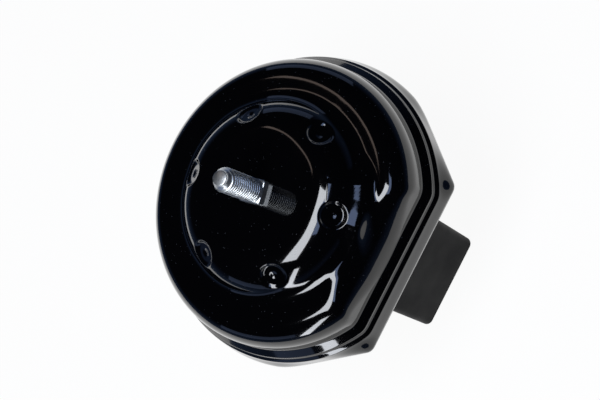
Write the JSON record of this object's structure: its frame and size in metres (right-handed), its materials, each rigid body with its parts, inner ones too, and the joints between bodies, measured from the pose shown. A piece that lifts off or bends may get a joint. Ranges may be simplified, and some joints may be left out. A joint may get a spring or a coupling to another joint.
{
  "type": "engine mount",
  "caption": "Hydraulic engine mount: gloss-black pressed dome cup with a threaded stud, crimped flange with flats, rubber spring and a rubber-clad block head.",
  "frame": {"origin": "centre of the tapped hole's mouth in the head's flat end face", "axes": "+Z along the stud, away from the head; the cup's long flat faces -Y; +X completes a right-handed frame"},
  "size_m": [0.1296, 0.1214, 0.1383],
  "materials": {
    "black_paint": "gloss black electrocoat",
    "cover_paint": "satin black electrocoat",
    "zinc_steel": "bright zinc plating",
    "bare_steel": "phosphated steel",
    "insert_steel": "plain steel",
    "cast_aluminium": "as cast",
    "soft_rubber": "matte",
    "spring_rubber": "matte",
    "jacket_rubber": "matte"
  },
  "bodies": {
    "root": {"dome_cup": "black_paint", "stud": "zinc_steel", "backing_plate": "bare_steel", "diaphragm": "soft_rubber", "upper_channel_plate": "cast_aluminium", "lower_channel_plate": "cast_aluminium", "decoupler": "soft_rubber", "plate_rivets": "bare_steel", "sleeve": "bare_steel", "stop_cover": "cover_paint", "main_spring": "spring_rubber", "core": "cast_aluminium", "head_jacket": "jacket_rubber", "thread_insert": "insert_steel"}
  },
  "joints": []
}
